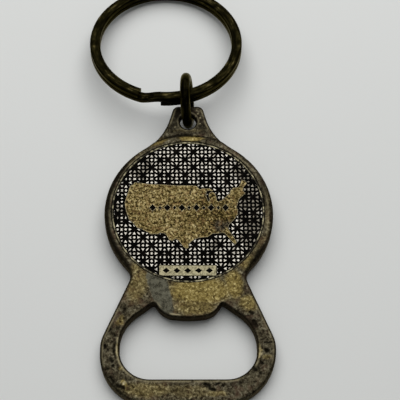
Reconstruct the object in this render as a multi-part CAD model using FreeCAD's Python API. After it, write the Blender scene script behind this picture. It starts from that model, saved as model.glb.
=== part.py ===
import FreeCAD, Part
import math
import os
from FreeCAD import Placement, Rotation, Vector

os.makedirs("parts", exist_ok=True)

# All sizes in millimetres. X runs across the opener, +Y towards the key ring,
# +Z out of the decorated face. The origin is under the centre of the round head,
# on the plane of the flat back.

# Cast body
HEAD_RADIUS = 17.6
HEAD_CENTRE = Vector(0.15, -0.38, 0)
BROW_RADIUS = 18.05
BROW_CENTRE = Vector(0.2, -0.4, 0)
BROW_CORNER = 2.0
BODY_THICKNESS = 2.7
FOOT_LEFT_X = -17.55
FOOT_RIGHT_X = 17.45
FOOT_SHOULDER_Y = -28.2
FOOT_BOTTOM_Y = -41.2
LEFT_CORNER_RADIUS = 10.4
RIGHT_CORNER_RADIUS = 11.3
WAIST_RADIUS = 3.0
MOUTH_HALF_WIDTH = 13.7
MOUTH_BOTTOM_Y = -36.1
NOTCH_X = 6.9
NOTCH_Y = -20.2
TONGUE_TIP_Y = -23.55
TONGUE_UNDERCUT = 0.2
OUTER_EDGE_ROUND = 0.8
MOUTH_EDGE_ROUND = 0.35
TAB_EDGE_ROUND = 0.4
BACK_EDGE_ROUND = 0.25

# Tab that carries the link, thinner than the head and set in from both its faces
TAB_BOTTOM_Z = 0.25
TAB_TOP_Z = 2.0
TAB_END_Y = 24.95
TAB_END_HALF_WIDTH = 3.05
TAB_ROOT_ARC = 13.0
TAB_HOLE_Y = 21.2
TAB_HOLE_RADIUS = 1.75
TAB_HOLE_FLARE = 0.3

# Medallion and the seat it is bonded into
SEAT_RADIUS = 15.95
SEAT_FLOOR_Z = 1.85
ADHESIVE_RADIUS = 15.7
ADHESIVE_TOP_Z = 1.95
MEDALLION_RADIUS = 15.85
FIELD_Z = 2.45
RELIEF_Z = 2.60
ENAMEL_Z = 2.51
BORDER_INNER_RADIUS = 15.6

# Plaque on the medallion
PLAQUE_LEFT_X = -5.9
PLAQUE_RIGHT_X = 5.7
PLAQUE_BOTTOM_Y = -14.45
PLAQUE_TOP_Y = -12.3

# Link through the tab, standing on edge
LINK_RADIUS = 5.0
LINK_WIRE_RADIUS = 1.05
LINK_PIVOT_Z = 1.0
LINK_LIFT_DEG = 21.0
LINK_LEAN_DEG = -6.0
LINK_SEAM_MM = 0.14
LINK_SEAM_DEG = 68.0

# Split ring: one flat wire wound twice round
RING_OUTER_RADIUS = 16.95
RING_INNER_RADIUS = 14.7
COIL_THICKNESS = 1.18
COIL_PITCH = 1.22
COIL_ROUND = 0.3
RING_CENTRE = Vector(-4.88, 41.56, 0.28)
RING_TILT_DEG = -11.0
UPPER_END_DEG = -111.0
STEP_START_DEG = -110.5
STEP_END_DEG = -94.5
LOWER_END_DEG = -93.5


def arc_corner(before, here, after, radius):
    """Tangent points and middle of the arc that rounds one corner."""
    to_before = (before - here).normalize()
    to_after = (after - here).normalize()
    half_angle = to_before.getAngle(to_after) / 2
    reach = radius / math.tan(half_angle)
    bisector = (to_before + to_after).normalize()
    middle = here + bisector * (radius / math.sin(half_angle) - radius)
    return here + to_before * reach, middle, here + to_after * reach


def rounded_outline(corners):
    """Closed wire in the XY plane through (x, y, radius) corners."""
    arcs = []
    for index, (x, y, radius) in enumerate(corners):
        before = Vector(*corners[index - 1][:2], 0)
        after = Vector(*corners[(index + 1) % len(corners)][:2], 0)
        here = Vector(x, y, 0)
        if radius > 0:
            arcs.append(arc_corner(before, here, after, radius))
        else:
            arcs.append((here, here, here))
    edges = []
    for index, (entry, middle, leave) in enumerate(arcs):
        previous_leave = arcs[index - 1][2]
        if previous_leave.distanceToPoint(entry) > 1e-6:
            edges.append(Part.makeLine(previous_leave, entry))
        if entry.distanceToPoint(leave) > 1e-6:
            edges.append(Part.Arc(entry, middle, leave).toShape())
    return Part.Wire(edges)


def plate(corners, bottom_z, top_z):
    """Flat plate with a rounded outline."""
    face = Part.Face(rounded_outline(corners))
    face.translate(Vector(0, 0, bottom_z))
    return face.extrude(Vector(0, 0, top_z - bottom_z))


def disc(radius, bottom_z, top_z):
    """Flat disc about the Z axis."""
    return Part.makeCylinder(radius, top_z - bottom_z, Vector(0, 0, bottom_z))


def mirrored(corners):
    """Right half of an outline, listed top to bottom, closed by its mirror image."""
    return corners + [(-x, y, radius) for x, y, radius in reversed(corners)]


def edges_at_height(shape, z):
    """All edges of the shape that lie in the plane at one height."""
    found = []
    for edge in shape.Edges:
        box = edge.BoundBox
        if abs(box.ZMin - z) < 1e-4 and abs(box.ZMax - z) < 1e-4:
            found.append(edge)
    return found


def upright_edges_near(shape, x, y, reach):
    """Upright edges near a point and near its mirror image across the YZ plane."""
    found = []
    for edge in shape.Edges:
        box = edge.BoundBox
        is_upright = box.ZLength > 1 and box.XLength < 1e-4 and box.YLength < 1e-4
        if is_upright and math.hypot(abs(box.XMin) - x, box.YMin - y) < reach:
            found.append(edge)
    return found


def is_mouth_edge(edge):
    """True for an edge of the cap mouth, false for one of the outer outline."""
    box = edge.BoundBox
    inside_width = max(abs(box.XMin), abs(box.XMax)) < MOUTH_HALF_WIDTH + 0.1
    return inside_width and box.YMin > MOUTH_BOTTOM_Y - 0.1 and box.YMax < NOTCH_Y + 0.5


def head_and_foot():
    """Round head blended into the legs and the bar, with the cap mouth cut through."""
    foot = plate([
        (9.6, -10.0, 0),
        (FOOT_RIGHT_X, FOOT_SHOULDER_Y, 7.0),
        (FOOT_RIGHT_X, FOOT_BOTTOM_Y, RIGHT_CORNER_RADIUS),
        (FOOT_LEFT_X, FOOT_BOTTOM_Y, LEFT_CORNER_RADIUS),
        (FOOT_LEFT_X, FOOT_SHOULDER_Y, 7.0),
        (-9.6, -10.0, 0),
    ], 0, BODY_THICKNESS)
    head = disc(HEAD_RADIUS, 0, BODY_THICKNESS)
    head.translate(HEAD_CENTRE)
    shape = head.fuse([foot, brow()]).removeSplitter()
    shape = shape.makeFillet(WAIST_RADIUS, upright_edges_near(shape, 11.3, -13.9, 1.0))
    shape = shape.makeFillet(BROW_CORNER, upright_edges_near(shape, 7.0, 16.3, 1.2))
    mouth = plate(mirrored([
        (0, TONGUE_TIP_Y, 14.0),
        (5.0, TONGUE_TIP_Y + 0.45, 4.4),
        (NOTCH_X, NOTCH_Y, 0.5),
        (MOUTH_HALF_WIDTH, -25.28, 8.0),
        (MOUTH_HALF_WIDTH, MOUTH_BOTTOM_Y, 6.1),
    ])[:-1], -1, BODY_THICKNESS + 1)
    shape = shape.cut(mouth)
    top = edges_at_height(shape, BODY_THICKNESS)
    outer = [edge for edge in top if not is_mouth_edge(edge)]
    shape = shape.makeFillet(OUTER_EDGE_ROUND, outer)
    inner = [edge for edge in edges_at_height(shape, BODY_THICKNESS) if is_mouth_edge(edge)]
    shape = shape.makeFillet(MOUTH_EDGE_ROUND, inner)
    return shape.makeFillet(BACK_EDGE_ROUND, edges_at_height(shape, 0))


def tab_root_arc_centre(head_centre, side_slope):
    """Centre of the hollow arc tangent to the tab's side and to the head circle."""
    side_normal = Vector(math.cos(side_slope), math.sin(side_slope), 0)
    side_offset = (Vector(TAB_END_HALF_WIDTH, TAB_END_Y, 0) - head_centre).dot(side_normal)
    reach = HEAD_RADIUS + TAB_ROOT_ARC
    angle = side_slope + math.acos((side_offset + TAB_ROOT_ARC) / reach)
    return head_centre + Vector(math.cos(angle), math.sin(angle), 0) * reach


def tab_side(head_centre):
    """Start of the tab's right-hand side and its edges, down to inside the head."""
    side_slope = math.radians(16)
    centre = tab_root_arc_centre(head_centre, side_slope)
    towards_head = (head_centre - centre).normalize()
    towards_side = Vector(-math.cos(side_slope), -math.sin(side_slope), 0)
    arc_end = centre + towards_head * TAB_ROOT_ARC
    arc_start = centre + towards_side * TAB_ROOT_ARC
    arc_middle = centre + (towards_head + towards_side).normalize() * TAB_ROOT_ARC
    top_corner = Vector(TAB_END_HALF_WIDTH, TAB_END_Y, 0)
    entry, middle, leave = arc_corner(Vector(0, TAB_END_Y, 0), top_corner, arc_start, 1.4)
    return entry, [
        Part.Arc(entry, middle, leave).toShape(),
        Part.makeLine(leave, arc_start),
        Part.Arc(arc_start, arc_middle, arc_end).toShape(),
        Part.makeLine(arc_end, Vector(7, 8, 0)),
    ]


def tab_face():
    """Outline of the tapered tab, whose sides sweep into the head."""
    entry, right = tab_side(HEAD_CENTRE)
    left_entry, left = tab_side(Vector(-HEAD_CENTRE.x, HEAD_CENTRE.y, 0))
    left = [edge.mirror(Vector(0, 0, 0), Vector(1, 0, 0)) for edge in left]
    top = Part.makeLine(Vector(-left_entry.x, left_entry.y, 0), entry)
    bottom = Part.makeLine(Vector(7, 8, 0), Vector(-7, 8, 0))
    return Part.Face(Part.Wire(Part.__sortEdges__(right + left + [top, bottom])))


def brow():
    """Full-height part of the tab's root, ending in an arc above the medallion."""
    reach = disc(BROW_RADIUS, 0, BODY_THICKNESS)
    reach.translate(BROW_CENTRE)
    return tab_face().extrude(Vector(0, 0, BODY_THICKNESS)).common(reach)


def tab():
    """Thin tab beyond the head."""
    face = tab_face()
    face.translate(Vector(0, 0, TAB_BOTTOM_Z))
    shape = face.extrude(Vector(0, 0, TAB_TOP_Z - TAB_BOTTOM_Z))
    shape = shape.makeFillet(TAB_EDGE_ROUND, edges_at_height(shape, TAB_TOP_Z))
    return shape.makeFillet(BACK_EDGE_ROUND, edges_at_height(shape, TAB_BOTTOM_Z))


def tab_hole():
    """Cutter for the link hole, flared at both faces."""
    flare = TAB_HOLE_RADIUS + TAB_HOLE_FLARE
    hole = Part.makeCylinder(TAB_HOLE_RADIUS, TAB_TOP_Z + 2, Vector(0, TAB_HOLE_Y, -1))
    back_at = Vector(0, TAB_HOLE_Y, TAB_BOTTOM_Z)
    back = Part.makeCone(flare, TAB_HOLE_RADIUS, TAB_HOLE_FLARE, back_at)
    front_at = Vector(0, TAB_HOLE_Y, TAB_TOP_Z - TAB_HOLE_FLARE)
    front = Part.makeCone(TAB_HOLE_RADIUS, flare, TAB_HOLE_FLARE, front_at)
    return hole.fuse([back, front])


def tongue_undercut():
    """Wedge cut from under the tongue so that its lip slips beneath a cap's skirt."""
    profile = Part.makePolygon([
        Vector(-6, NOTCH_Y + 0.6, -1),
        Vector(-6, NOTCH_Y + 0.6, 0),
        Vector(-6, TONGUE_TIP_Y - 0.3, TONGUE_UNDERCUT),
        Vector(-6, TONGUE_TIP_Y - 0.3, -1),
        Vector(-6, NOTCH_Y + 0.6, -1),
    ])
    return Part.Face(profile).extrude(Vector(12, 0, 0))


def opener_body():
    """One casting: head with a medallion seat, tab, legs, tongue and bar."""
    seat = disc(SEAT_RADIUS, SEAT_FLOOR_Z, BODY_THICKNESS + 1)
    shape = head_and_foot().fuse(tab())
    return shape.cut(tab_hole()).cut(tongue_undercut()).cut(seat).removeSplitter()


# Turning points of the map's coasts and borders, clockwise from the north-west corner.
MAP_OUTLINE = [
    (-11.25, 6.4), (-9.9, 6.25), (-8.0, 5.95), (-5.0, 5.85), (-2.5, 5.65), (0.9, 5.7),
    (1.9, 5.5), (2.1, 5.1), (2.5, 4.75), (3.0, 5.0), (4.5, 5.0), (5.3, 4.5), (4.8, 4.45),
    (4.2, 4.55), (3.8, 4.3), (3.75, 3.4), (4.0, 2.5), (4.3, 1.95), (4.55, 2.3), (4.35, 3.0),
    (4.35, 3.8), (4.8, 4.2), (5.4, 4.1), (5.8, 3.4), (6.0, 2.15), (6.4, 2.0), (7.3, 2.5),
    (8.0, 3.25), (8.75, 3.9), (8.9, 4.5), (9.4, 5.1), (10.5, 5.3), (11.0, 6.0), (11.3, 7.0),
    (11.9, 6.9), (12.3, 6.2), (11.6, 5.25), (11.5, 4.5), (12.0, 3.9), (11.1, 3.1),
    (10.6, 2.5), (10.4, 1.8), (10.1, 0.8), (10.35, 0.0), (10.35, -0.75), (9.9, -1.6),
    (9.1, -2.55), (8.4, -3.3), (8.25, -4.0), (8.6, -4.9), (9.2, -5.8), (9.75, -6.6),
    (9.95, -7.3), (9.6, -7.65), (9.2, -7.2), (8.55, -6.45), (8.0, -5.65), (7.5, -5.15),
    (7.0, -5.05), (6.0, -5.2), (5.0, -5.25), (4.5, -5.6), (4.0, -5.95), (2.4, -6.15),
    (1.4, -6.4), (0.6, -7.0), (0.1, -7.6), (0.0, -8.4), (-0.4, -8.6), (-1.0, -8.1),
    (-1.5, -7.4), (-2.0, -6.7), (-2.7, -6.4), (-3.3, -6.9), (-4.0, -6.5), (-4.4, -5.7),
    (-5.0, -5.15), (-5.9, -5.05), (-6.25, -5.35), (-7.85, -5.35), (-8.1, -5.05),
    (-9.9, -4.1), (-10.55, -3.95), (-11.5, -2.75), (-12.25, -2.1), (-12.6, -1.0),
    (-12.95, 0.0), (-13.15, 1.0), (-13.2, 1.8), (-12.95, 2.8), (-12.4, 4.75), (-12.1, 5.6),
    (-11.5, 5.9),
]


def map_plate(bottom_z, top_z):
    """Raised outline map."""
    return plate([(x, y, 0) for x, y in MAP_OUTLINE], bottom_z, top_z)


def lozenge(x, y, half_width, half_height, bottom_z, top_z):
    """Four-sided ornament standing on one point."""
    return plate([
        (x + half_width, y, 0),
        (x, y + half_height, 0),
        (x - half_width, y, 0),
        (x, y - half_height, 0),
    ], bottom_z, top_z)


def sunk_ornaments(bottom_z, top_z):
    """Rows of plain lozenges sunk into the map and into the plaque."""
    shapes = []
    for index in range(11):
        is_large = index % 2 == 0
        half_width = 0.7 if is_large else 0.4
        half_height = 0.8 if is_large else 0.45
        x = -7.4 + index * 1.52
        shapes.append(lozenge(x, 0.6, half_width, half_height, bottom_z, top_z))
    middle_y = (PLAQUE_BOTTOM_Y + PLAQUE_TOP_Y) / 2
    for index in range(5):
        x = -4.5 + index * 2.2
        shapes.append(lozenge(x, middle_y, 0.75, 0.6, bottom_z, top_z))
    return shapes


def relief(bottom_z, top_z):
    """Everything on the medallion that stands above the dark field."""
    ring = disc(MEDALLION_RADIUS, bottom_z, top_z)
    ring = ring.cut(disc(BORDER_INNER_RADIUS, bottom_z - 1, top_z + 1))
    plaque = plate([
        (PLAQUE_RIGHT_X, PLAQUE_TOP_Y, 0.1),
        (PLAQUE_LEFT_X, PLAQUE_TOP_Y, 0.1),
        (PLAQUE_LEFT_X, PLAQUE_BOTTOM_Y, 0.1),
        (PLAQUE_RIGHT_X, PLAQUE_BOTTOM_Y, 0.1),
    ], bottom_z, top_z)
    shape = ring.fuse([plaque, map_plate(bottom_z, top_z)])
    return shape.cut(sunk_ornaments(bottom_z - 1, top_z + 1))


def medallion():
    """Etched disc: a thin plate with the border, map and plaque left raised."""
    base = disc(MEDALLION_RADIUS, ADHESIVE_TOP_Z, FIELD_Z)
    return base.fuse(relief(FIELD_Z - 0.05, RELIEF_Z)).removeSplitter()


def enamel_fill():
    """Dark fill lying in everything that was etched away."""
    return disc(BORDER_INNER_RADIUS, FIELD_Z, ENAMEL_Z).cut(relief(FIELD_Z - 0.5, RELIEF_Z + 0.5))


def adhesive_layer():
    """Bond between the medallion and the floor of its seat."""
    return disc(ADHESIVE_RADIUS, SEAT_FLOOR_Z, ADHESIVE_TOP_Z)


def link_centre():
    """Centre of the link, which leans on the far rim of the tab hole."""
    lift = math.radians(LINK_LIFT_DEG)
    across = LINK_RADIUS * math.cos(lift)
    up = LINK_RADIUS * math.sin(lift)
    return Vector(0, TAB_HOLE_Y + across, LINK_PIVOT_Z + up)


def jump_link():
    """Round wire bent into a ring, its two ends butted with a fine seam."""
    seam_deg = math.degrees(LINK_SEAM_MM / LINK_RADIUS)
    section = Part.Face(Part.Wire(Part.makeCircle(
        LINK_WIRE_RADIUS, Vector(0, LINK_RADIUS, 0), Vector(0, 0, 1))))
    shape = section.revolve(Vector(0, 0, 0), Vector(1, 0, 0), 360 - seam_deg)
    shape.rotate(Vector(0, 0, 0), Vector(1, 0, 0), LINK_SEAM_DEG + seam_deg / 2)
    shape.translate(link_centre())
    pivot = Vector(0, TAB_HOLE_Y, LINK_PIVOT_Z)
    shape.rotate(pivot, Vector(0, 1, 0), LINK_LEAN_DEG)
    return shape


def coil_section(turn_deg, low_z):
    """Rounded flat-wire section standing in the radial plane at one angle."""
    high_z = low_z + COIL_THICKNESS
    wire = rounded_outline([
        (RING_INNER_RADIUS, low_z, COIL_ROUND),
        (RING_OUTER_RADIUS, low_z, COIL_ROUND),
        (RING_OUTER_RADIUS, high_z, COIL_ROUND),
        (RING_INNER_RADIUS, high_z, COIL_ROUND),
    ])
    wire.rotate(Vector(0, 0, 0), Vector(1, 0, 0), 90)
    wire.rotate(Vector(0, 0, 0), Vector(0, 0, 1), turn_deg)
    return wire


def coil_arc(start_deg, end_deg, low_z):
    """Level run of the coil between two angles."""
    face = Part.Face(coil_section(start_deg, low_z))
    return face.revolve(Vector(0, 0, 0), Vector(0, 0, 1), end_deg - start_deg)


def coil_step(start_deg, end_deg, low_z, rise):
    """Short run where the wire climbs from the lower turn to the upper turn."""
    stations = 13
    sections = []
    for index in range(stations):
        part_way = index / (stations - 1)
        smooth = part_way * part_way * (3 - 2 * part_way)
        turn_deg = start_deg + part_way * (end_deg - start_deg)
        sections.append(coil_section(turn_deg, low_z + smooth * rise))
    return Part.makeLoft(sections, True, False)


def split_ring():
    """Two-turn key ring: lower turn, climbing step and upper turn in one wire."""
    low_z = -(COIL_PITCH + COIL_THICKNESS) / 2
    high_z = low_z + COIL_PITCH
    lower = coil_arc(LOWER_END_DEG, STEP_START_DEG + 360, low_z)
    step = coil_step(STEP_START_DEG, STEP_END_DEG, low_z, COIL_PITCH)
    upper = coil_arc(STEP_END_DEG, UPPER_END_DEG + 360, high_z)
    shape = step.fuse([lower, upper]).removeSplitter()
    tilt = Rotation(Vector(1, 0, 0), RING_TILT_DEG)
    shape.Placement = Placement(RING_CENTRE, tilt).multiply(shape.Placement)
    return shape


opener_body().exportStep("parts/opener_body.step")
medallion().exportStep("parts/medallion.step")
enamel_fill().exportStep("parts/enamel_fill.step")
adhesive_layer().exportStep("parts/adhesive_layer.step")
jump_link().exportStep("parts/jump_link.step")
split_ring().exportStep("parts/split_ring.step")
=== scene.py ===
import math

import bmesh
import bpy
import numpy as np
from mathutils import Matrix, Vector, kdtree, noise


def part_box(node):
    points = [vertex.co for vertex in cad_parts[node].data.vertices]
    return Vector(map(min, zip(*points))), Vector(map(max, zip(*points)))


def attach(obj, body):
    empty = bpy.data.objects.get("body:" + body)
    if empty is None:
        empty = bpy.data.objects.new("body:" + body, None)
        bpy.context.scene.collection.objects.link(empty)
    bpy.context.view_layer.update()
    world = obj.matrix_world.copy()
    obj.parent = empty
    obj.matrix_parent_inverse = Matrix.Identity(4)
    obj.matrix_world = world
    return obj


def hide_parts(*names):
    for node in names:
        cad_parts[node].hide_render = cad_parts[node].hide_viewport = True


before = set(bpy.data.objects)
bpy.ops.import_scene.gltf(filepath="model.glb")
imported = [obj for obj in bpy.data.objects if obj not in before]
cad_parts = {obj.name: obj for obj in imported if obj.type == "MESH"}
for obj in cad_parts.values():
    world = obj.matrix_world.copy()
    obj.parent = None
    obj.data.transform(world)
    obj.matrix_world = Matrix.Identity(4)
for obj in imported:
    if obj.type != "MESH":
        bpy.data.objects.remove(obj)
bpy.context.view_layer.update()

# Everything is in metres, in the frame of the design: X across the opener, +Y towards
# the key ring, +Z out of the decorated face. Lists of places on the face are in
# millimetres and go through MM.
MM = 0.001

medal_low, medal_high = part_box("medallion")
MEDAL_RADIUS = (medal_high.x - medal_low.x) / 2 / MM
MEDAL_TOP = medal_high.z / MM
ENAMEL_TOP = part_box("enamel_fill")[1].z / MM
FOOT_EDGE_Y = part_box("opener_body")[0].y

# Camera: where it looks, how far off it stands, and its lens and sensor in millimetres
CAMERA_AIM = Vector((2.472, 2.352, 2.6)) * MM
CAMERA_DISTANCE = 250.87 * MM
CAMERA_AZIMUTH = math.radians(-2.27)
CAMERA_ELEVATION = math.radians(65.87)
CAMERA_ROLL = math.radians(2.138)
CAMERA_LENS = 108
CAMERA_SENSOR = 36
CAMERA_CLIP = (0.01, 10)


def make_camera():
    """Camera above the foot of the opener, looking down at the face."""
    level = math.cos(CAMERA_ELEVATION)
    back = Vector((
        math.sin(CAMERA_AZIMUTH) * level,
        -math.cos(CAMERA_AZIMUTH) * level,
        math.sin(CAMERA_ELEVATION),
    ))
    flat_right = Vector((math.cos(CAMERA_AZIMUTH), math.sin(CAMERA_AZIMUTH), 0))
    flat_up = back.cross(flat_right)
    turn_cos = math.cos(CAMERA_ROLL)
    turn_sin = math.sin(CAMERA_ROLL)
    right = flat_right * turn_cos + flat_up * turn_sin
    up = flat_up * turn_cos - flat_right * turn_sin
    data = bpy.data.cameras.new("camera")
    data.lens = CAMERA_LENS
    data.sensor_width = CAMERA_SENSOR
    data.clip_start, data.clip_end = CAMERA_CLIP
    camera = bpy.data.objects.new("camera", data)
    axes = Matrix((right, up, back)).transposed().to_4x4()
    camera.matrix_world = Matrix.Translation(CAMERA_AIM + back * CAMERA_DISTANCE) @ axes
    bpy.context.scene.collection.objects.link(camera)
    bpy.context.scene.camera = camera


class Shader:
    """One material, with short calls that add a node and return its output."""

    def __init__(self, name):
        self.material = bpy.data.materials.new(name)
        self.material.use_nodes = True
        self.tree = self.material.node_tree
        self.surface = self.tree.nodes["Principled BSDF"]
        self.place = self.millimetres()

    def add(self, kind, **settings):
        """New node of a kind, with its settings."""
        node = self.tree.nodes.new(kind)
        for name, value in settings.items():
            setattr(node, name, value)
        return node

    def feed(self, node, socket, value):
        """Links another node's output to a socket, or sets the socket to a constant."""
        if isinstance(value, bpy.types.NodeSocket):
            self.tree.links.new(value, node.inputs[socket])
        else:
            node.inputs[socket].default_value = value

    def millimetres(self):
        """Place on the piece in millimetres."""
        place = self.add("ShaderNodeTexCoord").outputs["Object"]
        return self.stretched(place, (1 / MM, 1 / MM, 1 / MM))

    def stretched(self, place, scale):
        """Place multiplied axis by axis."""
        node = self.add("ShaderNodeMapping")
        self.feed(node, "Vector", place)
        self.feed(node, "Scale", scale)
        return node.outputs["Vector"]

    def noise(self, size, detail=2.0, roughness=0.5, place=None, warp=0.0):
        """Cloudy value from 0 to 1 whose blotches are about size millimetres."""
        node = self.add("ShaderNodeTexNoise")
        self.feed(node, "Vector", place or self.place)
        self.feed(node, "Scale", 1 / size)
        self.feed(node, "Detail", detail)
        self.feed(node, "Roughness", roughness)
        self.feed(node, "Distortion", warp)
        return node.outputs["Fac"]

    def math(self, operation, first, second=0.0):
        """Result of one sum. Operations on a single value leave out the second."""
        node = self.add("ShaderNodeMath", operation=operation)
        self.feed(node, 0, first)
        self.feed(node, 1, second)
        return node.outputs["Value"]

    def band(self, value, low, high):
        """0 below low, 1 above high, smooth between. Low may be the larger."""
        node = self.add("ShaderNodeMapRange", interpolation_type="SMOOTHSTEP")
        self.feed(node, "Value", value)
        self.feed(node, "From Min", min(low, high))
        self.feed(node, "From Max", max(low, high))
        self.feed(node, "To Min", 0.0 if low < high else 1.0)
        self.feed(node, "To Max", 1.0 if low < high else 0.0)
        return node.outputs["Result"]

    def between(self, value, low, high):
        """Value from 0 to 1 carried to the range from low to high."""
        node = self.add("ShaderNodeMapRange")
        self.feed(node, "Value", value)
        self.feed(node, "To Min", low)
        self.feed(node, "To Max", high)
        return node.outputs["Result"]

    def mix(self, factor, first, second):
        """Colour going from first to second."""
        node = self.add("ShaderNodeMix", data_type="RGBA")
        self.feed(node, "Factor", factor)
        self.feed(node, 6, first)
        self.feed(node, 7, second)
        return node.outputs[2]

    def shades(self, value, stops):
        """Colour from a list of (place, colour) stops."""
        node = self.add("ShaderNodeValToRGB")
        self.feed(node, "Fac", value)
        ramp = node.color_ramp
        while len(ramp.elements) < len(stops):
            ramp.elements.new(0.5)
        for element, (place, colour) in zip(ramp.elements, stops):
            element.position = place
            element.color = colour
        return node.outputs["Color"]

    def painted(self, name):
        """Value stored at the points of the mesh."""
        return self.add("ShaderNodeAttribute", attribute_name=name).outputs["Fac"]

    def spot(self, x, y, reach, soft=0.5):
        """1 within reach of a place on the face, falling to 0, its outline a little ragged."""
        away = self.add("ShaderNodeVectorMath", operation="DISTANCE")
        flat = self.stretched(self.place, (1, 1, 0))
        self.feed(away, 0, flat)
        self.feed(away, 1, (x, y, 0))
        ragged = self.math("ADD", away.outputs["Value"],
                           self.math("MULTIPLY", self.noise(1.1, 2), reach * soft))
        return self.band(ragged, reach * (1 + soft), reach * (1 - soft / 2))

    def facing_up(self):
        """Z part of the surface's direction, 1 on the face and 0 on upright walls."""
        normal = self.add("ShaderNodeTexCoord").outputs["Normal"]
        node = self.add("ShaderNodeSeparateXYZ")
        self.feed(node, "Vector", normal)
        return node.outputs["Z"]

    def near_edge(self, reach):
        """Rises from 0 on flat ground to 1 at an edge, over reach millimetres."""
        bevel = self.add("ShaderNodeBevel", samples=8)
        self.feed(bevel, "Radius", reach * MM)
        normal = self.add("ShaderNodeNewGeometry").outputs["Normal"]
        dot = self.add("ShaderNodeVectorMath", operation="DOT_PRODUCT")
        self.feed(dot, 0, bevel.outputs["Normal"])
        self.feed(dot, 1, normal)
        return self.band(dot.outputs["Value"], 0.995, 0.80)

    def finish(self, colour, roughness, metallic, height=None, depth=0.0, **constants):
        """Joins the values to the surface. Depth is the bump's height in millimetres."""
        self.feed(self.surface, "Base Color", colour)
        self.feed(self.surface, "Roughness", roughness)
        self.feed(self.surface, "Metallic", metallic)
        for name, value in constants.items():
            self.surface.inputs[name.replace("_", " ")].default_value = value
        if height is not None:
            bump = self.add("ShaderNodeBump")
            self.feed(bump, "Height", height)
            self.feed(bump, "Distance", depth * MM)
            self.feed(bump, "Strength", 1.0)
            self.feed(self.surface, "Normal", bump.outputs["Normal"])
        return self.material


def rgb(red, green, blue):
    """Linear colour."""
    return (red, green, blue, 1.0)


# Colours shared by several materials
# Near black: the darkest patina, stains and pits, and painted shade on edges, rims and upright sides
SOOT_AND_SHADE = rgb(0.0030, 0.0024, 0.0014)
UMBER = rgb(0.026, 0.020, 0.012)
OLIVE = rgb(0.078, 0.067, 0.040)
PUTTY = rgb(0.20, 0.18, 0.125)
RUSSET = rgb(0.075, 0.042, 0.028)
# Pale colour of the edge line: rubbed brass and painted highlight
RUBBED_AND_HIGHLIGHT = rgb(0.36, 0.31, 0.185)
GRAZING_TINT = rgb(0.66, 0.56, 0.36)
WIRE_TINT = rgb(0.80, 0.74, 0.55)


def cast_brass():
    """Antique brass plating on a casting, worn, stained and through to grey in one place, with painted
    shade and painted highlight along its edges.
    """
    s = Shader("cast_brass")
    grain = s.noise(0.52, 4, 0.66, warp=0.6)
    blotch = s.noise(1.2, 4, 0.6, warp=0.4)
    specks = s.noise(0.17, 2, 0.5)
    tone = s.math("ADD", s.math("MULTIPLY", grain, 0.7), s.math("MULTIPLY", blotch, 0.3))
    old = s.shades(tone, [(0.35, SOOT_AND_SHADE), (0.43, UMBER), (0.52, OLIVE), (0.64, PUTTY)])
    ruddy = s.math("MULTIPLY", s.band(s.noise(1.7, 2), 0.50, 0.68), 0.45)
    old = s.mix(ruddy, old, RUSSET)
    worn = s.shades(tone, [
        (0.35, rgb(0.036, 0.025, 0.008)), (0.45, rgb(0.088, 0.064, 0.019)),
        (0.55, rgb(0.165, 0.127, 0.042)), (0.65, rgb(0.36, 0.30, 0.14)),
    ])
    uneven = s.math("MULTIPLY", s.math("SUBTRACT", grain, 0.5), 0.7)
    rubbed_and_lit = s.band(s.math("ADD", s.painted("wear_and_highlight"), uneven), -0.05, 1.0)
    colour = s.mix(rubbed_and_lit, old, worn)
    grey = s.mix(s.band(s.noise(0.9, 3), 0.35, 0.65),
                 rgb(0.032, 0.031, 0.022), rgb(0.105, 0.102, 0.074))
    grey = s.mix(s.band(specks, 0.50, 0.70), grey, rgb(0.14, 0.13, 0.09))
    colour = s.mix(s.painted("bare"), colour, grey)
    # Black by the stored darkening: stains and dark pits, and painted shade in the band in from the edges,
    # on the head's left rim and on the upright walls
    colour = s.mix(s.painted("darkening"), colour, SOOT_AND_SHADE)
    # Pale line along the edges and pale flecks: partly rubbed wear, partly painted highlight
    colour = s.mix(s.painted("wear_and_highlight_line"), colour, RUBBED_AND_HIGHLIGHT)
    roughness = s.between(
        s.math("ADD", s.math("MULTIPLY", rubbed_and_lit, 0.7), s.math("MULTIPLY", specks, 0.3)), 0.58, 0.36)
    height = s.math("ADD", grain, s.math("MULTIPLY", specks, 0.45))
    return s.finish(colour, roughness, s.between(rubbed_and_lit, 0.7, 1.0), height, 0.09,
                    Specular_IOR_Level=0.2, Specular_Tint=GRAZING_TINT)


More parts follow.
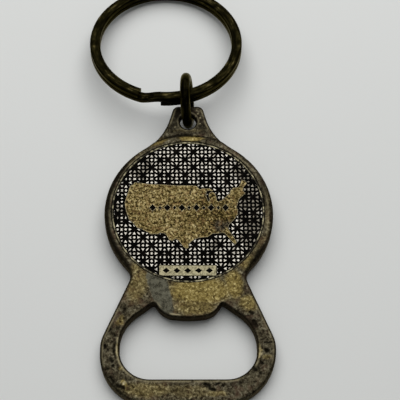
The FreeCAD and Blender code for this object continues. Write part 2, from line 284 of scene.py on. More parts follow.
def etched_brass():
    """Brass of the medallion, grained, with pale edges of painted highlight and rubbed wear, painted shade
    on its upright sides, and one corroded patch.
    """
    s = Shader("etched_brass")
    grain = s.noise(0.52, 4, 0.72, warp=0.4)
    specks = s.noise(0.16, 2, 0.5)
    blotch = s.noise(2.6, 3, 0.5)
    tone = s.math("ADD", s.math("MULTIPLY", grain, 0.8), s.math("MULTIPLY", blotch, 0.2))
    tone = s.math("SUBTRACT", tone, s.math("MULTIPLY", s.spot(6.0, -1.5, 5.5), 0.035))
    colour = s.shades(tone, [
        (0.40, rgb(0.006, 0.004, 0.001)), (0.46, rgb(0.038, 0.026, 0.007)),
        (0.52, rgb(0.135, 0.100, 0.034)), (0.61, rgb(0.33, 0.27, 0.135)),
    ])
    dirt = s.mix(s.band(grain, 0.42, 0.62), rgb(0.004, 0.003, 0.002), rgb(0.060, 0.050, 0.034))
    patch = s.math("MAXIMUM", s.spot(6.6, -3.6, 1.5), s.spot(8.4, -3.2, 1.0))
    colour = s.mix(s.math("MULTIPLY", patch, 0.9), colour, dirt)
    ruddy = s.math("MULTIPLY", s.band(s.noise(0.9, 2), 0.52, 0.66), 0.35)
    colour = s.mix(ruddy, colour, rgb(0.15, 0.088, 0.036))
    pits = s.math("MULTIPLY", s.band(s.noise(0.34, 2, 0.5), 0.44, 0.36), s.band(blotch, 0.40, 0.56))
    colour = s.mix(s.math("MULTIPLY", pits, 0.9), colour, rgb(0.006, 0.004, 0.002))
    pale = s.mix(s.band(grain, 0.35, 0.6), rgb(0.11, 0.097, 0.055), rgb(0.31, 0.28, 0.175))
    faded = s.mix(s.band(s.noise(1.4, 3, 0.6), 0.42, 0.62), rgb(0.016, 0.014, 0.010), pale)
    radius = s.add("ShaderNodeVectorMath", operation="LENGTH")
    s.feed(radius, 0, s.stretched(s.place, (1, 1, 0)))
    rim = s.band(radius.outputs["Value"], MEDAL_RADIUS - 0.5, MEDAL_RADIUS - 0.4)
    height_on_face = s.add("ShaderNodeSeparateXYZ")
    s.feed(height_on_face, "Vector", s.place)
    plaque = s.band(height_on_face.outputs["Y"], -11.5, -12.1)
    # Pale edges: painted highlight and rubbed wear along the tops of the relief's edges
    edge = s.math("MULTIPLY", s.near_edge(0.24), s.band(s.facing_up(), 0.6, 0.9))
    colour = s.mix(s.math("MULTIPLY", edge, 0.8), colour, rgb(0.34, 0.30, 0.19))
    colour = s.mix(plaque, colour, pale)
    colour = s.mix(rim, colour, faded)
    # Upright sides of the relief painted black as shade
    colour = s.mix(s.band(s.facing_up(), 0.7, 0.3), colour, SOOT_AND_SHADE)
    height = s.math("ADD", grain, s.math("MULTIPLY", specks, 0.4))
    return s.finish(colour, s.between(specks, 0.52, 0.34), 0.95, height, 0.05,
                    Specular_IOR_Level=0.2)


def lattice_brass():
    """Tops of the raised lattice, pale from rubbing, dull where dirt is left, with painted shade on its
    sides.
    """
    s = Shader("lattice_brass")
    dull = s.noise(1.5, 3, 0.6)
    specks = s.noise(0.2, 2, 0.5)
    soil = s.math("MULTIPLY", s.painted("darkening"), 0.35)
    clean = s.band(s.math("SUBTRACT", dull, soil), 0.20, 0.55)
    colour = s.mix(clean, rgb(0.16, 0.145, 0.115), rgb(0.56, 0.53, 0.46))
    dirt = s.math("MULTIPLY", s.band(specks, 0.55, 0.35), 0.45)
    colour = s.mix(dirt, colour, rgb(0.09, 0.075, 0.05))
    # Sides of the lattice painted black as shade
    colour = s.mix(s.band(s.facing_up(), 0.7, 0.3), colour, SOOT_AND_SHADE)
    return s.finish(colour, s.between(specks, 0.5, 0.36), 0.9, specks, 0.02,
                    Specular_IOR_Level=0.2)


def black_enamel():
    """Dull black fill with dust in it."""
    s = Shader("black_enamel")
    dust = s.noise(0.3, 3, 0.6)
    cloud = s.noise(2.2, 3, 0.5)
    colour = s.mix(s.band(s.math("ADD", dust, cloud), 1.0, 1.35),
                   rgb(0.0014, 0.0011, 0.0008), rgb(0.012, 0.009, 0.007))
    return s.finish(colour, s.between(dust, 0.5, 0.7), 0.0, dust, 0.02,
                    Specular_IOR_Level=0.015)


def bond():
    """Cured adhesive, hidden under the medallion."""
    s = Shader("adhesive")
    cloud = s.noise(1.2, 3, 0.5)
    colour = s.mix(cloud, rgb(0.62, 0.58, 0.45), rgb(0.78, 0.74, 0.62))
    return s.finish(colour, 0.55, 0.0, cloud, 0.02)


def bronze_wire(name, middle, tilt, band_radius, band_width):
    """Dark plating on wire bent round a middle, browner in streaks and in a band along the middle of the
    wire's top that is rubbed wear and painted highlight.
    """
    s = Shader(name)
    turned = s.add("ShaderNodeMapping", vector_type="TEXTURE")
    s.feed(turned, "Vector", s.place)
    s.feed(turned, "Location", middle)
    s.feed(turned, "Rotation", tilt)
    parts = s.add("ShaderNodeSeparateXYZ")
    s.feed(parts, "Vector", turned.outputs["Vector"])
    across = s.add("ShaderNodeVectorMath", operation="LENGTH")
    s.feed(across, 0, s.stretched(turned.outputs["Vector"], (1, 1, 0)))
    radius = across.outputs["Value"]
    turn = s.math("ARCTAN2", parts.outputs["Y"], parts.outputs["X"])
    unrolled = s.add("ShaderNodeCombineXYZ")
    s.feed(unrolled, "X", radius)
    s.feed(unrolled, "Y", s.math("MULTIPLY", s.math("ABSOLUTE", turn), band_radius * 0.12))
    s.feed(unrolled, "Z", parts.outputs["Z"])
    streaks = s.noise(0.40, 3, 0.6, place=unrolled.outputs["Vector"])
    cloud = s.noise(2.6, 3, 0.55, warp=0.5)
    grain = s.noise(0.26, 3, 0.6)
    # Browner band along the middle of the wire's top: rubbed wear and painted highlight
    off_band = s.math("ABSOLUTE", s.math("SUBTRACT", radius, band_radius))
    band = s.math("MULTIPLY", s.band(off_band, band_width, 0.0), 0.05)
    tone = s.math("ADD", s.math("MULTIPLY", streaks, 0.6), s.math("MULTIPLY", cloud, 0.4))
    colour = s.shades(s.math("ADD", tone, band), [
        (0.40, rgb(0.0007, 0.0006, 0.0002)), (0.51, rgb(0.0030, 0.0026, 0.0008)),
        (0.60, rgb(0.013, 0.0108, 0.0034)), (0.68, rgb(0.085, 0.068, 0.026)),
    ])
    return s.finish(colour, s.between(grain, 0.42, 0.26), 1.0, s.math("ADD", grain, streaks), 0.02,
                    Specular_Tint=WIRE_TINT)


def pale_floor():
    """Matt board."""
    s = Shader("floor")
    cloud = s.noise(60, 2, 0.5)
    tooth = s.noise(0.5, 2, 0.5)
    colour = s.mix(cloud, rgb(0.795, 0.805, 0.79), rgb(0.815, 0.825, 0.81))
    return s.finish(colour, 0.75, 0.0, tooth, 0.01)


def paint_with(piece, material):
    """Gives the whole piece one material."""
    piece.data.materials.clear()
    piece.data.materials.append(material)


def new_piece(name, mesh):
    """Object in the scene that shows the mesh."""
    piece = bpy.data.objects.new(name, mesh)
    bpy.context.scene.collection.objects.link(piece)
    return piece


def place_array(mesh):
    """Points of a mesh in millimetres, one row each."""
    flat = np.empty(len(mesh.vertices) * 3)
    mesh.vertices.foreach_get("co", flat)
    return flat.reshape(-1, 3) / MM


def normal_array(mesh):
    """Directions of the surface at a mesh's points, one row each."""
    flat = np.empty(len(mesh.vertices) * 3)
    mesh.vertex_normals.foreach_get("vector", flat)
    return flat.reshape(-1, 3)


def noise_array(points, size, seed=0.0):
    """Smooth random value from about -1 to 1 at each point, blotches size across."""
    shift = Vector((seed * 17.3, seed * 5.1, seed * 31.7))
    return np.array([noise.noise(Vector(point) / size + shift) for point in points])


def smooth(value):
    """0 to 1 with level ends."""
    value = np.clip(value, 0, 1)
    return value * value * (3 - 2 * value)


def reach_to_line(points, route):
    """Distance in the XY plane from each point to a line of straight runs."""
    nearest = np.full(len(points), 1e9)
    ends = route[1:] if len(route) > 1 else route
    for start, end in zip(route, ends):
        start = np.array(start)
        run = np.array(end) - start
        length = max(float(run @ run), 1e-12)
        along = np.clip((points[:, :2] - start) @ run / length, 0, 1)
        gap = points[:, :2] - start - along[:, None] * run
        nearest = np.minimum(nearest, np.hypot(gap[:, 0], gap[:, 1]))
    return nearest


# A spot fades out from this many times its reach, over the given share of it
SPOT_OUTER = 1.45
SPOT_FADE = 0.9


def soft_spots(points, spots):
    """Strongest of several soft ellipses, each x, y, reach along, reach across, turn, strength."""
    total = np.zeros(len(points))
    for x, y, along, across, turn, strength in spots:
        angle = math.radians(turn)
        dx = points[:, 0] - x
        dy = points[:, 1] - y
        u = (dx * math.cos(angle) + dy * math.sin(angle)) / along
        v = (dy * math.cos(angle) - dx * math.sin(angle)) / across
        total = np.maximum(total, strength * smooth((SPOT_OUTER - np.hypot(u, v)) / SPOT_FADE))
    return total


def store(mesh, name, values):
    """Keeps one value at each point of the mesh for a material to read."""
    layer = mesh.attributes.new(name, "FLOAT", "POINT")
    layer.data.foreach_set("value", values.astype(np.float32))


# Where the plating is rubbed to bright brass, and one painted highlight: x, y, reach along, reach across,
# turn, strength
WORN_AND_HIGHLIT_SPOTS = [
    (2.4, -17.8, 6.4, 2.8, 0, 1.0), (1.4, -21.2, 4.4, 2.0, 0, 0.6), (9.3, -16.4, 1.9, 3.0, 8, 0.9),
    (-10.2, -16.4, 2.1, 4.2, -18, 0.52), (-10.9, -13.2, 1.2, 1.4, 0, 0.5),
    (-8.6, -14.8, 1.2, 1.4, 0, 0.5), (-8.2, -38.3, 5.6, 1.6, 0, 0.5),
    (0.0, -38.6, 5.4, 1.4, 0, 0.36), (-12.6, -37.0, 0.9, 0.5, -40, 1.0),
    (0.8, 16.85, 2.7, 0.8, 0, 1.0), (-6.6, 15.9, 2.6, 0.8, 25, 0.7), (-11.5, 12.0, 3.2, 0.5, 45, 0.3),
    (16.6, 0.0, 0.6, 6.0, 0, 0.28), (14.0, -8.8, 0.8, 4.6, -32, 0.3), (12.0, -11.6, 1.4, 1.8, -40, 0.6),
    (12.0, -20.4, 1.9, 1.7, -50, 0.7), (-13.6, -24.2, 1.2, 0.8, 50, 0.6), (13.9, -30.6, 0.5, 1.8, 0, 0.9),
    # The spot at (-14.0, -30.2) is a painted highlight on the lit side of the gouge beside it
    (15.6, -31.6, 0.9, 0.5, 0, 0.5), (-14.0, -30.2, 0.35, 1.4, 8, 1.0), (-13.3, -34.0, 0.6, 0.5, 0, 0.6),
    (5.5, -39.0, 2.4, 0.6, 0, 0.5), (0.0, 19.0, 3.0, 0.4, 0, 0.35),
]

# Where the casting is darkened almost to black; the long spot along the head's left edge at x -17 is
# painted shade
DARKENED_SPOTS = [
    (-17.0, -0.6, 0.85, 12.0, 0, 1.0), (-15.2, -8.6, 0.9, 5.0, 28, 1.0),
    (-14.2, 9.6, 0.6, 5.0, -38, 0.7), (5.4, 16.4, 2.6, 0.6, -18, 0.55),
    (-4.4, 17.2, 2.0, 0.3, 12, 0.5), (12.9, -24.6, 1.5, 0.7, -55, 0.75), (11.2, -17.0, 0.6, 2.4, 0, 0.35),
    (-12.6, -21.8, 1.0, 1.5, -25, 0.4), (-16.6, -29.6, 0.5, 0.5, 0, 0.8),
    (-13.9, -37.6, 2.2, 0.6, -42, 0.55), (13.4, -34.0, 1.4, 0.7, 40, 0.5),
    (9.6, -37.0, 2.6, 0.4, 8, 0.5), (-1.0, 23.2, 2.9, 2.2, 0, 0.9), (0.0, 20.4, 2.6, 0.9, 0, 0.75),
    (2.6, 21.4, 1.5, 2.4, 20, 0.7), (-3.2, 20.6, 1.3, 2.0, -20, 0.7), (15.9, 4.0, 0.5, 4.5, 8, 0.6),
    (0.0, 18.6, 4.4, 0.6, 0, 0.4), (17.2, -1.0, 0.4, 9.0, 0, 0.7),
    (-15.8, -26.5, 1.1, 0.8, 0, 0.35), (14.3, -10.6, 1.0, 4.2, -36, 1.0), (12.6, 11.6, 3.4, 0.45, -44, 0.5),
]

# Where the pale line along the edges shows, partly rubbed wear and partly painted highlight
RUBBED_AND_HIGHLIT_SPOTS = [
    (-13.9, -30.4, 0.9, 3.4, 6, 0.95), (-12.2, -34.6, 1.6, 0.9, -45, 0.7), (0.0, -36.3, 13.0, 0.5, 0, 0.5),
    (-2.6, -23.2, 1.6, 0.6, -14, 1.0), (2.6, -23.6, 3.0, 0.5, 4, 0.55), (13.8, -31.6, 0.7, 2.8, 0, 0.6),
    (6.2, -21.0, 0.6, 1.6, -40, 0.5), (-6.4, -21.0, 0.6, 1.2, 40, 0.5), (-15.6, -24.6, 0.8, 3.6, -24, 0.5),
    (-17.1, -31.0, 0.7, 3.4, 0, 0.45), (17.1, -31.0, 0.7, 4.0, 0, 0.55), (15.6, -25.0, 0.8, 4.6, 22, 0.5),
    (-3.4, 23.0, 0.6, 2.6, -10, 0.5), (3.6, 22.4, 0.6, 3.0, 12, 0.6), (0.0, 21.2, 2.4, 2.4, 0, 0.6),
    (16.6, 2.0, 1.0, 8.0, 0, 0.32), (-16.6, 0.0, 1.0, 10.0, 0, 0.25), (-11.5, 12.2, 5.0, 1.0, 45, 0.45),
    (11.5, 12.2, 5.0, 1.0, -45, 0.5), (-12.0, -37.0, 2.6, 0.8, -38, 0.4), (12.0, -37.0, 2.6, 0.8, 38, 0.4),
]

# Pale flecks: x, y, radius
FLECKS = [
    (1.9, 24.1, 0.20), (2.2, 23.2, 0.24), (1.7, 22.5, 0.18), (2.7, 22.2, 0.18), (-12.6, -37.0, 0.45),
    (2.4, 20.6, 0.16), (-2.6, 20.0, 0.16), (14.5, -31.0, 0.26),
]

# In from every edge: a dark band of painted shade, then the pale line, partly rubbed wear and partly
# painted highlight. The line lies further in on the head, and is fainter there.
EDGE_SHADE = 0.34
EDGE_SHADE_FADE = 0.16
EDGE_CREST = 0.50
EDGE_CREST_HALF_WIDTH = 0.26
HEAD_CENTRE = (0.15, -0.38)
HEAD_REACH = 17.75
HEAD_CREST = 1.02
HEAD_CREST_STRENGTH = 0.75

# Painted shade on the head's rim this far in, left of the given x
LEFT_RIM_SHADE = 0.95
LEFT_RIM_X = -9

# Walls nearer the origin than this belong to the medallion's seat and have no painted dark band
SEAT_REACH = 16.3

# Painted shade on the upright walls, and how much less of it the foot has
WALL_SHADE = 0.85
FOOT_WALL_TOP_Y = -33.0
FOOT_WALL_LIGHT = 0.55

# Darkness that neither stains nor painted shade on the casting go beyond
DARKEST = 0.93

# Middle line of the patch where grey metal shows: x, y, half width
BARE_PATCH = [
    (-6.5, -14.4, 2.0), (-5.9, -17.0, 1.9), (-5.1, -19.6, 1.7), (-4.5, -21.6, 1.35),
    (-3.9, -23.4, 0.8),
]
BARE_PATCH_FADE = 0.35

# Pits and gouges: points of the mark, half width, depth
MARKS = [
    ([(15.6, -30.3)], 0.50, 0.30), ([(15.1, -28.7), (17.0, -28.65)], 0.20, 0.16),
    ([(12.5, -22.3), (12.9, -22.5)], 0.42, 0.20), ([(13.1, -24.2), (13.6, -25.2)], 0.50, 0.22),
    ([(14.0, -32.3), (14.7, -33.0)], 0.32, 0.20), ([(13.3, -34.3), (12.6, -33.7)], 0.36, 0.20),
    ([(14.2, -34.9)], 0.40, 0.18), ([(15.9, -26.2)], 0.30, 0.12), ([(16.3, -33.2)], 0.35, 0.12),
    ([(3.2, -37.1), (4.0, -37.5), (4.4, -38.1), (5.1, -38.35)], 0.30, 0.24),
    ([(5.4, -37.2), (6.1, -36.95)], 0.28, 0.18), ([(6.8, -37.4)], 0.34, 0.20), ([(8.3, -37.1)], 0.26, 0.14),
    ([(-15.6, -25.9), (-16.2, -26.3)], 0.38, 0.20), ([(-16.7, -29.5)], 0.50, 0.24),
    ([(-15.4, -32.0), (-15.0, -32.5)], 0.40, 0.20), ([(-14.9, -33.4)], 0.40, 0.20),
    ([(-15.9, -34.0)], 0.38, 0.18), ([(-15.3, -35.8), (-14.6, -36.7)], 0.36, 0.20),
    ([(-13.9, -37.4), (-12.7, -37.9)], 0.40, 0.22), ([(-14.6, -27.2)], 0.34, 0.16),
    ([(-12.9, -22.0)], 0.36, 0.14),
    ([(-14.4, -28.6), (-14.75, -29.6), (-14.7, -30.8), (-14.2, -31.9)], 0.22, 0.22),
    ([(-13.6, -24.4)], 0.30, 0.14), ([(-16.9, -31.6)], 0.32, 0.14), ([(-2.4, 22.7)], 0.34, 0.14),
    ([(2.3, 18.6)], 0.26, 0.10), ([(-3.6, 19.6)], 0.30, 0.12), ([(9.6, -15.4)], 0.22, 0.06),
    ([(11.4, -16.2), (11.5, -17.6)], 0.24, 0.10),
    ([(-4.9, 17.25), (-2.5, 17.8), (0.0, 17.98), (2.7, 17.85), (5.4, 17.2)], 0.26, 0.15),
    ([(-1.9, 23.9)], 0.28, 0.12), ([(1.3, 24.2)], 0.24, 0.12), ([(-3.3, 21.4)], 0.30, 0.14),
    ([(3.1, 20.6)], 0.26, 0.12), ([(-2.7, 22.3)], 0.22, 0.10),
    ([(3.5, 19.0), (3.9, 18.6)], 0.22, 0.10), ([(-5.3, 16.9), (-4.2, 17.0)], 0.18, 0.08),
]

# Small pits strewn over the legs and the bar: their number, the box they lie in, the
# least and the greatest radius and depth, and the half width left clear in the middle
PIT_SEED = 7
SMALL_PITS = 150
PIT_BOX = ((-17.2, -40.8), (17.2, -20.0))
PIT_SIZE = ((0.22, 0.05), (0.36, 0.12))
CLEAR_HALF_WIDTH = 11

# Size of the casting's faces, in metres
CASTING_GRAIN = 0.17 * MM

# How far the outlines of spots and of marks wander, how deep the skin is uneven, the
# depth that looks black, and the height below which a point belongs to the flat back
SPOT_WANDER = 0.4
MARK_WANDER = 0.12
SKIN_ROUGHNESS = 0.014
BLACK_DEPTH = 0.13
BACK_Z = 0.02

# A mark's bowl is this many times its half width, and points further than MARK_FAR from
# the start of its route are passed over
MARK_FADE = 1.35
MARK_FAR = 6


def even_copy(source, name, grain):
    """Copy of a CAD piece in small even faces, its points lying on the true surface."""
    mesh = source.data.copy()
    work = bmesh.new()
    work.from_mesh(mesh)
    bmesh.ops.remove_doubles(work, verts=work.verts, dist=1e-7)
    work.to_mesh(mesh)
    work.free()
    piece = new_piece(name, mesh)
    remesh = piece.modifiers.new("even_faces", "REMESH")
    remesh.mode = "VOXEL"
    remesh.voxel_size = grain
    wrap = piece.modifiers.new("true_surface", "SHRINKWRAP")
    wrap.target = source
    bpy.context.view_layer.update()
    evaluated = piece.evaluated_get(bpy.context.evaluated_depsgraph_get())
    piece.data = bpy.data.meshes.new_from_object(evaluated)
    piece.modifiers.clear()
    piece.data.shade_smooth()
    return piece


def scattered_pits():
    """Small pits strewn over the two legs and the ends of the bar."""
    draw = np.random.default_rng(PIT_SEED)
    pits = []
    while len(pits) < SMALL_PITS:
        x, y = draw.uniform(*PIT_BOX)
        radius, depth = draw.uniform(*PIT_SIZE)
        narrowing = 0.25 * (y + 20) * (y > -24)
        if abs(x) > CLEAR_HALF_WIDTH + narrowing:
            pits.append(([(x, y)], radius, depth))
    return pits


def inset_from_walls(points, normals):
    """Distance in the XY plane from each point to the casting's upright walls."""
    wall = points[(abs(normals[:, 2]) < 0.4) & (np.hypot(*points[:, :2].T) > SEAT_REACH)]
    tree = kdtree.KDTree(len(wall))
    for index, (x, y) in enumerate(wall[:, :2]):
        tree.insert((x, y, 0), index)
    tree.balance()
    return np.array([tree.find((x, y, 0))[2] for x, y in points[:, :2]])


def wandered(points, size, seed, reach):
    """Points moved about in the XY plane, so that shapes read from them are ragged."""
    moved = points.copy()
    drift = [noise_array(points, size, seed), noise_array(points, size, seed + 1)]
    moved[:, :2] += np.stack(drift, 1) * reach
    return moved


def bare_metal(points):
    """1 where the plating is worn through, 0 elsewhere."""
    bare = np.zeros(len(points))
    for (x, y, half), (next_x, next_y, next_half) in zip(BARE_PATCH, BARE_PATCH[1:]):
        reach = reach_to_line(points, [(x, y), (next_x, next_y)])
        inside = ((half + next_half) / 2 - reach) / BARE_PATCH_FADE
        bare = np.maximum(bare, smooth(inside + 0.5))
    return bare


def pale_lines(points, ragged, inset, on_head):
    """Strength of the pale line along the edges, partly rubbed wear and partly painted highlight, and of
    the flecks.
    """
    # Where the pale line shows: rubbed wear and painted highlight
    rubbed_and_lit = soft_spots(points, RUBBED_AND_HIGHLIT_SPOTS) * smooth(0.9 + noise_array(points, 0.9, 9))
    line = np.where(on_head, HEAD_CREST, EDGE_CREST)
    wear_and_highlight_line = rubbed_and_lit * smooth(1 - abs(inset - line) / EDGE_CREST_HALF_WIDTH)
    wear_and_highlight_line = np.where(on_head, wear_and_highlight_line * HEAD_CREST_STRENGTH, wear_and_highlight_line)
    for x, y, radius in FLECKS:
        away = np.hypot(*(ragged[:, :2] - (x, y)).T)
        wear_and_highlight_line = np.maximum(wear_and_highlight_line, smooth(1.3 - away / radius))
    return wear_and_highlight_line


def stains_and_edge_shade(points, ragged, inset, on_head):
    """Darkness of the darkened spots, with painted shade in the band along the edges and on the head's left
    rim.
    """
    darkening = soft_spots(ragged, DARKENED_SPOTS)
    # Painted shade: a dark band in from every edge
    edge = smooth((EDGE_SHADE - inset) / EDGE_SHADE_FADE + 0.5) * DARKEST
    darkening = np.maximum(darkening, edge)
    # Painted shade on the head's left rim
    left = smooth((LEFT_RIM_X - points[:, 0]) / 5)
    rim = smooth((LEFT_RIM_SHADE - inset) / 0.3 + 0.5) * left
    return np.where(on_head & (points[:, 0] < 0), np.maximum(darkening, rim), darkening)


def sunk_marks(points):
    """Depth of the pits and gouges at each point."""
    sunk = np.zeros(len(points))
    jagged = wandered(points, 0.3, 3, MARK_WANDER)
    for route, half_width, depth in MARKS + scattered_pits():
        near = np.hypot(*(points[:, :2] - np.array(route[0])).T) < MARK_FAR
        reach = reach_to_line(jagged[near], route)
        bowl = smooth(1 - reach / (half_width * MARK_FADE))
        sunk[near] = np.maximum(sunk[near], bowl * depth)
    return sunk


def wall_shade(points, normals):
    """Painted shade on the upright walls, less at the foot."""
    foot = smooth((FOOT_WALL_TOP_Y - points[:, 1]) / 3)
    steep = 1 - smooth((normals[:, 2] - 0.55) / 0.35)
    return steep * (WALL_SHADE - FOOT_WALL_LIGHT * foot)


def uneven_skin(points, normals, sunk):
    """Points after the skin's unevenness and the marks. The flat back stays flat."""
    skin = noise_array(points, 1.3, 5) * 0.6 + noise_array(points, 0.55, 6) * 0.4
    shift = normals * (skin * SKIN_ROUGHNESS)[:, None]
    shift[:, 2] -= sunk
    shift[points[:, 2] < BACK_Z, 2] = 0
    return points + shift


def casting():
    """The cast body with its uneven skin, pits, gouges and worn places, and painted shade and highlight
    along its edges and walls.
    """
    piece = even_copy(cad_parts["opener_body"], "opener_casting", CASTING_GRAIN)
    mesh = piece.data
    points = place_array(mesh)
    normals = normal_array(mesh)
    faces_up = smooth((normals[:, 2] - 0.5) / 0.4)
    ragged = wandered(points, 1.1, 1, SPOT_WANDER)
    inset = inset_from_walls(points, normals)
    on_head = np.hypot(*(points[:, :2] - HEAD_CENTRE).T) < HEAD_REACH
    wear_and_highlight_line = pale_lines(points, ragged, inset, on_head)
    sunk = sunk_marks(points)
    # Darkening holds stains and dark pits, and painted shade along the edges, on the head's left rim and on
    # the upright walls
    darkening = np.maximum(stains_and_edge_shade(points, ragged, inset, on_head), sunk / BLACK_DEPTH) * faces_up
    darkening = np.maximum(darkening, wall_shade(points, normals))
    moved = uneven_skin(points, normals, sunk * faces_up)
    mesh.vertices.foreach_set("co", (moved * MM).ravel())
    mesh.update()
    store(mesh, "wear_and_highlight", soft_spots(ragged, WORN_AND_HIGHLIT_SPOTS) * faces_up)
    store(mesh, "bare", bare_metal(ragged) * faces_up)
    # Pale edge line: rubbed wear and painted highlight
    store(mesh, "wear_and_highlight_line", wear_and_highlight_line * smooth((normals[:, 2] - 0.2) / 0.4))
    store(mesh, "darkening", np.clip(darkening, 0, DARKEST))
    paint_with(piece, cast_brass())
    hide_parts("opener_body")
    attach(piece, "opener")


# Raised lattice between the map and the rim. Rings and crossings take turns, and groups
# of five cells by five repeat with a slightly closer joint between them. CELL is one cell
# in millimetres, and the sizes from LATTICE_SHIFT to DASH_HALF_WIDTH are in cells.
CELL = 1.792
LATTICE_TURN = math.radians(-0.6)
LATTICE_SHIFT = (2.300, -4.545)
GROUP_CELLS = 4.9406
GROUP_START = (GROUP_CELLS - 4) / 2
DOT_RADIUS = 0.130
CUSP_FOOT = 0.375
CUSP_TIP = 0.70
CUSP_SLOPE = 0.50
DASH_HALF_LENGTH = 0.20
DASH_HALF_WIDTH = 0.070

# In millimetres: the gap to the map and the rim, the grid step, the heights, the reach
# within which points are joined, the least area of an island and the shortest outline
EDGE_MARGIN = 0.18
LATTICE_STEP = 0.085
LATTICE_TOP = MEDAL_TOP - 0.02
LATTICE_BOTTOM = ENAMEL_TOP - 0.03
JOIN_REACH = 0.004
SMALLEST_ISLAND = 0.012
SHORTEST_OUTLINE = 5

# Where the lattice is dull with dirt
DULL_SPOTS = [
    (13.0, 0.0, 2.6, 9.0, 0, 0.9), (12.4, 8.6, 2.4, 2.4, 0, 1.0), (-10.5, 10.5, 2.6, 3.2, 45, 0.45),
    (0.0, -15.2, 3.5, 0.7, 0, 0.6), (5.5, -7.4, 3.0, 1.2, 0, 0.5), (-14.2, 2.5, 1.2, 4.0, 0, 0.35),
]


def lattice_height(x, y):
    """Above zero on the lattice's dots, cusps and dashes, measured in cells."""
    turned_x = x * math.cos(LATTICE_TURN) - y * math.sin(LATTICE_TURN)
    turned_y = x * math.sin(LATTICE_TURN) + y * math.cos(LATTICE_TURN)
    cells_x = turned_x / CELL + LATTICE_SHIFT[0]
    cells_y = turned_y / CELL + LATTICE_SHIFT[1]
    u = np.mod(cells_x + GROUP_START, GROUP_CELLS) - GROUP_START
    v = np.mod(cells_y + GROUP_START, GROUP_CELLS) - GROUP_START
    diagonal = np.mod(u + v, 2) - 1
    counter = np.mod(u - v, 2) - 1
    across = abs(diagonal + counter) / 2
    along = abs(diagonal - counter) / 2
    far = np.maximum(across, along)
    near = np.minimum(across, along)
    radius = np.hypot(across, along)
    cusp = np.minimum(radius - CUSP_FOOT, ((CUSP_TIP - far) * CUSP_SLOPE - near) * 0.88)
    down_dash = (across - along) * math.sqrt(0.5) / DASH_HALF_LENGTH
    over_dash = (across + along - 1) * math.sqrt(0.5) / DASH_HALF_WIDTH
    dash = (1 - np.hypot(down_dash, over_dash)) * DASH_HALF_WIDTH
    return np.maximum(np.maximum(DOT_RADIUS - radius, cusp), dash)


def relief_outlines():
    """Closed outlines of everything large that stands above the medallion's field."""
    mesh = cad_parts["medallion"].data
    work = bmesh.new()
    work.from_mesh(mesh)
    bmesh.ops.remove_doubles(work, verts=work.verts, dist=1e-7)
    top = medal_high.z
    onward = {}
    for face in work.faces:
        if face.normal.z < 0.9 or face.calc_center_median().z < top - 1e-5:
            continue
        for loop in face.loops:
            others = [other for other in loop.edge.link_faces if other is not face]
            if others and abs(others[0].normal.z) < 0.5:
                onward[loop.vert.index] = (loop.link_loop_next.vert.index, loop.vert.co.xy / MM)
    work.free()
    outlines = []
    while onward:
        index, (following, place) = onward.popitem()
        outline = [tuple(place)]
        while following in onward:
            following, place = onward.pop(following)
            outline.append(tuple(place))
        outlines.append(outline)
    return [outline for outline in outlines if outline_length(outline) > SHORTEST_OUTLINE]


def outline_length(outline):
    """Length once round a closed outline."""
    return sum(math.dist(a, b) for a, b in zip(outline, outline[1:] + outline[:1]))


def inside_outline(points, outline):
    """True where a point is within a closed outline."""
    inside = np.zeros(len(points), bool)
    for (ax, ay), (bx, by) in zip(outline, outline[1:] + outline[:1]):
        spans = (ay > points[:, 1]) != (by > points[:, 1])
        if not spans.any():
            continue
        crossing = (bx - ax) * (points[:, 1] - ay) / (by - ay) + ax
        inside ^= spans & (points[:, 0] < crossing)
    return inside


def lattice_field(points):
    """Above zero where the lattice stands, clear of the map, the plaque and the rim."""
    raised = np.zeros(len(points), bool)
    room = np.full(len(points), 1e9)
    for outline in relief_outlines():
        raised ^= inside_outline(points, outline)
        room = np.minimum(room, reach_to_line(points, outline + outline[:1]))
    outside = np.hypot(points[:, 0], points[:, 1]) > MEDAL_RADIUS
    room = np.where(raised | outside, -room, room) - EDGE_MARGIN
    return np.minimum(lattice_height(points[:, 0], points[:, 1]) * CELL, room)


def level_islands(work, xs, ys, values, z):
    """Faces of a flat sheet that covers only where the values are above zero."""
    points = {}

    def corner(i, j):
        """Sheet point at a grid corner."""
        if (i, j) not in points:
            points[i, j] = work.verts.new((xs[i], ys[j], z))
        return points[i, j]

    def crossing(i, j, k, m):
        """Sheet point where the value is zero between two grid corners."""
        key = (min((i, j), (k, m)), max((i, j), (k, m)))
        if key not in points:
            part = values[i, j] / (values[i, j] - values[k, m])
            points[key] = work.verts.new((
                xs[i] + (xs[k] - xs[i]) * part, ys[j] + (ys[m] - ys[j]) * part, z))
        return points[key]

    above = values > 0
    some = above[:-1, :-1] | above[1:, :-1] | above[1:, 1:] | above[:-1, 1:]
    for i, j in np.argwhere(some).tolist():
        ring = [(i, j), (i + 1, j), (i + 1, j + 1), (i, j + 1)]
        outline = []
        for here, there in zip(ring, ring[1:] + ring[:1]):
            if above[here]:
                outline.append(corner(*here))
            if above[here] != above[there]:
                outline.append(crossing(*here, *there))
        work.faces.new(outline)


def islands_of(work):
    """Faces of a bmesh grouped by the island that they belong to."""
    left = set(work.faces)
    while left:
        island = [left.pop()]
        for face in island:
            for edge in face.edges:
                for other in edge.link_faces:
                    if other in left:
                        left.remove(other)
                        island.append(other)
        yield island


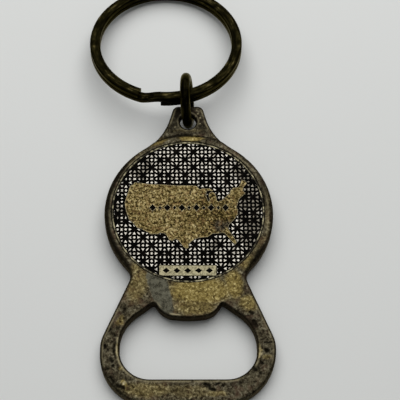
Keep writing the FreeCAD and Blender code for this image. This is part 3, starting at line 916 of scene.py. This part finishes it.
def lattice_mesh():
    """Low flat-topped islands standing on the dark fill."""
    xs = np.arange(-MEDAL_RADIUS, MEDAL_RADIUS, LATTICE_STEP)
    grid_x, grid_y = np.meshgrid(xs, xs, indexing="ij")
    flat = np.stack([grid_x.ravel(), grid_y.ravel()], 1)
    values = lattice_field(flat).reshape(grid_x.shape)
    work = bmesh.new()
    level_islands(work, xs, xs, values, LATTICE_BOTTOM)
    bmesh.ops.remove_doubles(work, verts=work.verts, dist=JOIN_REACH)
    small = []
    for island in islands_of(work):
        if sum(face.calc_area() for face in island) < SMALLEST_ISLAND:
            small += island
    bmesh.ops.delete(work, geom=small, context="FACES")
    bmesh.ops.dissolve_limit(
        work, angle_limit=math.radians(2), verts=work.verts, edges=work.edges)
    raised = bmesh.ops.extrude_face_region(work, geom=work.faces[:], use_keep_orig=True)
    for vertex in raised["geom"]:
        if isinstance(vertex, bmesh.types.BMVert):
            vertex.co.z = LATTICE_TOP
    bmesh.ops.recalc_face_normals(work, faces=work.faces[:])
    bmesh.ops.scale(work, vec=(MM, MM, MM), verts=work.verts)
    mesh = bpy.data.meshes.new("medallion_lattice")
    work.to_mesh(mesh)
    work.free()
    return mesh


def lattice():
    """The lattice, bright where hands rub it and dull elsewhere."""
    mesh = lattice_mesh()
    points = place_array(mesh)
    drift = noise_array(points, 2.5, 8) * 0.25
    store(mesh, "darkening", np.clip(soft_spots(points, DULL_SPOTS) + drift, 0, 1))
    piece = new_piece("medallion_lattice", mesh)
    paint_with(piece, lattice_brass())
    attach(piece, "opener")


# Half the side of the floor, in metres
FLOOR_HALF = 0.6


def make_floor():
    """Board that carries the foot's back edge and the bottom of the link."""
    slope = 0.0
    for name in ("jump_link", "split_ring"):
        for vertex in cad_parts[name].data.vertices:
            slope = max(slope, -vertex.co.z / (vertex.co.y - FOOT_EDGE_Y))
    mesh = bpy.data.meshes.new("floor")
    corners = []
    for x_side, y_side in ((-1, -1), (1, -1), (1, 1), (-1, 1)):
        y = y_side * FLOOR_HALF
        corners.append((x_side * FLOOR_HALF, y, -(y - FOOT_EDGE_Y) * slope))
    mesh.from_pydata(corners, [], [(0, 1, 2, 3)])
    floor = new_piece("floor", mesh)
    paint_with(floor, pale_floor())


# Light: a dim pale surround, darker near the horizon, and one wide soft light overhead,
# a little beyond the key ring
HORIZON_LIGHT = 0.08
ZENITH_LIGHT = 0.24
SURROUND_COLOUR = rgb(0.985, 1.0, 0.985)
LIGHT_PLACE = Vector((0, 0.25, 0.38))
LIGHT_AIM = Vector((0, 0.01, 0))
LIGHT_SIZE = 0.66
LIGHT_POWER = 2.05


def make_surround():
    """Background light that grows from the horizon to the zenith."""
    world = bpy.data.worlds.new("surround")
    bpy.context.scene.world = world
    world.use_nodes = True
    nodes = world.node_tree.nodes
    links = world.node_tree.links
    parts = nodes.new("ShaderNodeSeparateXYZ")
    rise = nodes.new("ShaderNodeMapRange")
    rise.interpolation_type = "SMOOTHSTEP"
    rise.inputs["To Min"].default_value = HORIZON_LIGHT
    rise.inputs["To Max"].default_value = ZENITH_LIGHT
    links.new(nodes.new("ShaderNodeTexCoord").outputs["Generated"], parts.inputs["Vector"])
    links.new(parts.outputs["Z"], rise.inputs["Value"])
    links.new(rise.outputs["Result"], nodes["Background"].inputs["Strength"])
    nodes["Background"].inputs["Color"].default_value = SURROUND_COLOUR


def make_light():
    """Wide soft light overhead."""
    data = bpy.data.lights.new("soft_light", "AREA")
    data.shape = "DISK"
    data.size = LIGHT_SIZE
    data.energy = LIGHT_POWER
    light = bpy.data.objects.new("soft_light", data)
    light.location = LIGHT_PLACE
    light.rotation_euler = (LIGHT_AIM - LIGHT_PLACE).to_track_quat("-Z", "Y").to_euler()
    bpy.context.scene.collection.objects.link(light)


def middle_of(node):
    """Middle of a CAD node's box in millimetres."""
    low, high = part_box(node)
    return tuple((low + high) / 2 / MM)


# Bend radius of each wire, the half width of its browner band of rubbed wear and painted highlight, and the
# way its axis lies
LINK_BEND = 5.0
LINK_BAND = 1.6
LINK_AXIS = (0, math.radians(90), 0)
RING_BEND = 15.85
RING_BAND = 0.8
RING_AXIS = (math.radians(-11), 0, 0)


def dress_cad_pieces():
    """Materials for the CAD pieces that show as they are."""
    link_wire = bronze_wire(
        "link_wire", middle_of("jump_link"), LINK_AXIS, LINK_BEND, LINK_BAND)
    ring_wire = bronze_wire(
        "ring_wire", middle_of("split_ring"), RING_AXIS, RING_BEND, RING_BAND)
    paint_with(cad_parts["medallion"], etched_brass())
    paint_with(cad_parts["enamel_fill"], black_enamel())
    paint_with(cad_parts["adhesive_layer"], bond())
    paint_with(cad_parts["jump_link"], link_wire)
    paint_with(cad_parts["split_ring"], ring_wire)


make_camera()
make_floor()
make_surround()
make_light()
bpy.context.scene.view_settings.view_transform = "Standard"
dress_cad_pieces()
casting()
lattice()
